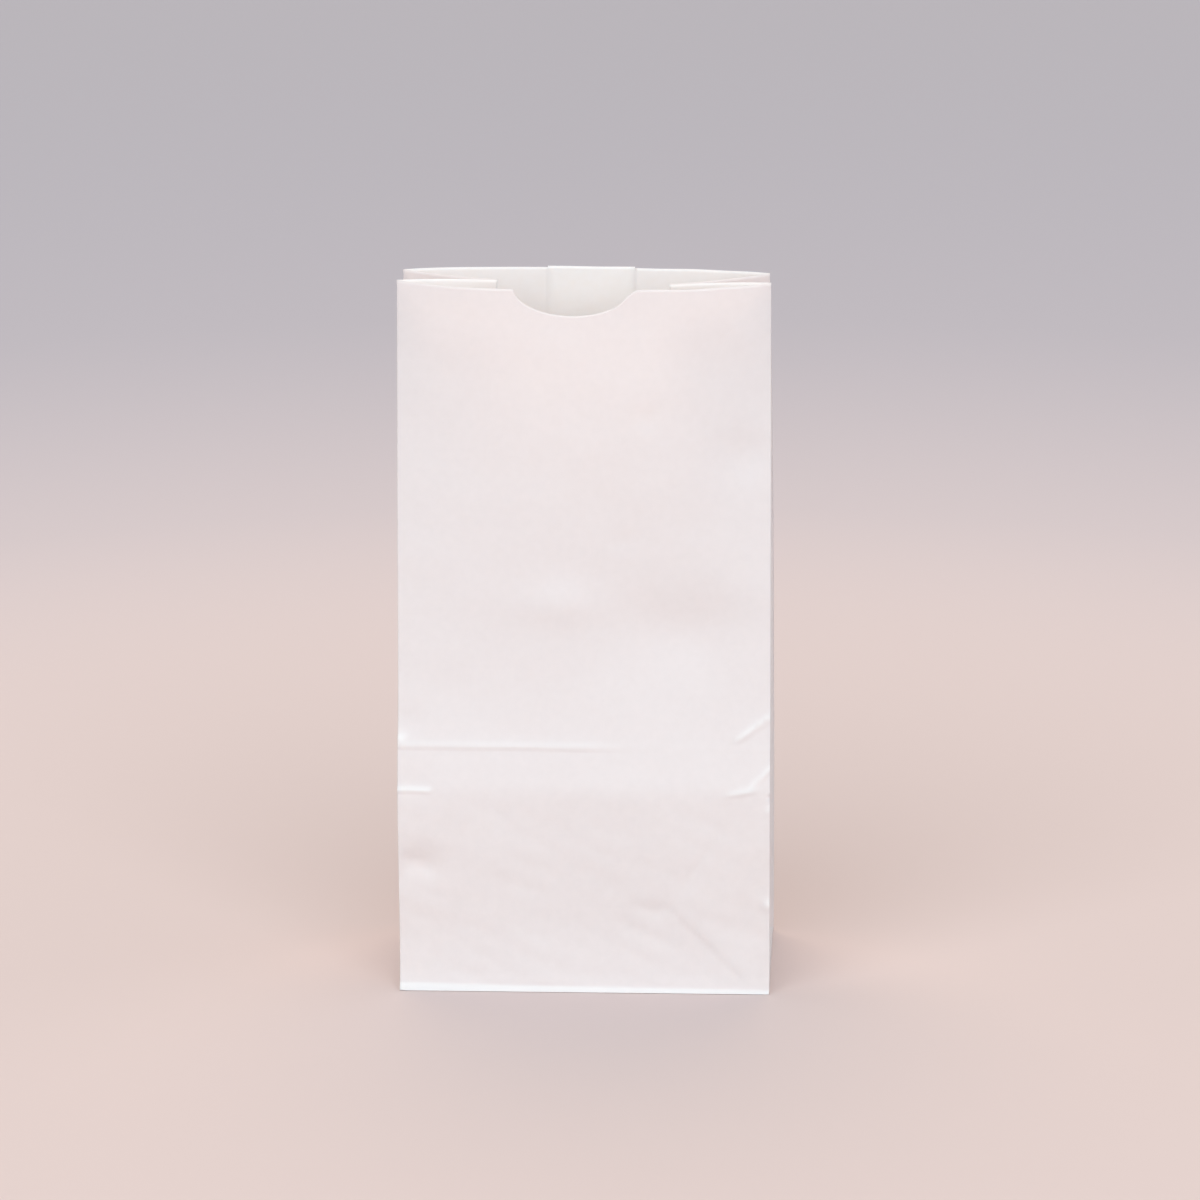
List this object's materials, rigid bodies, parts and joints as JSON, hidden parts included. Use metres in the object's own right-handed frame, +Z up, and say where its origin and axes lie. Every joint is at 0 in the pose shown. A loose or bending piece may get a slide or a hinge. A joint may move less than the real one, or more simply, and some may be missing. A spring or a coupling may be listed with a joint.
{
  "type": "paper bakery bag",
  "caption": "White paper bakery bag with a flat block bottom, folded side gussets and a thumb notch, standing with its mouth a little open.",
  "frame": {"origin": "middle of the flat bottom, on the surface that the bag stands on", "axes": "+Z up along the bag to its mouth, +X across the face panels to the right as seen from the front, +Y from the front panel with the thumb notch towards the back panel with the pasted seam"},
  "size_m": [0.108, 0.06, 0.207],
  "materials": {
    "paper": "smooth white bleached kraft paper, slightly glazed outside"
  },
  "bodies": {
    "root": {"bag": "paper"}
  },
  "joints": []
}
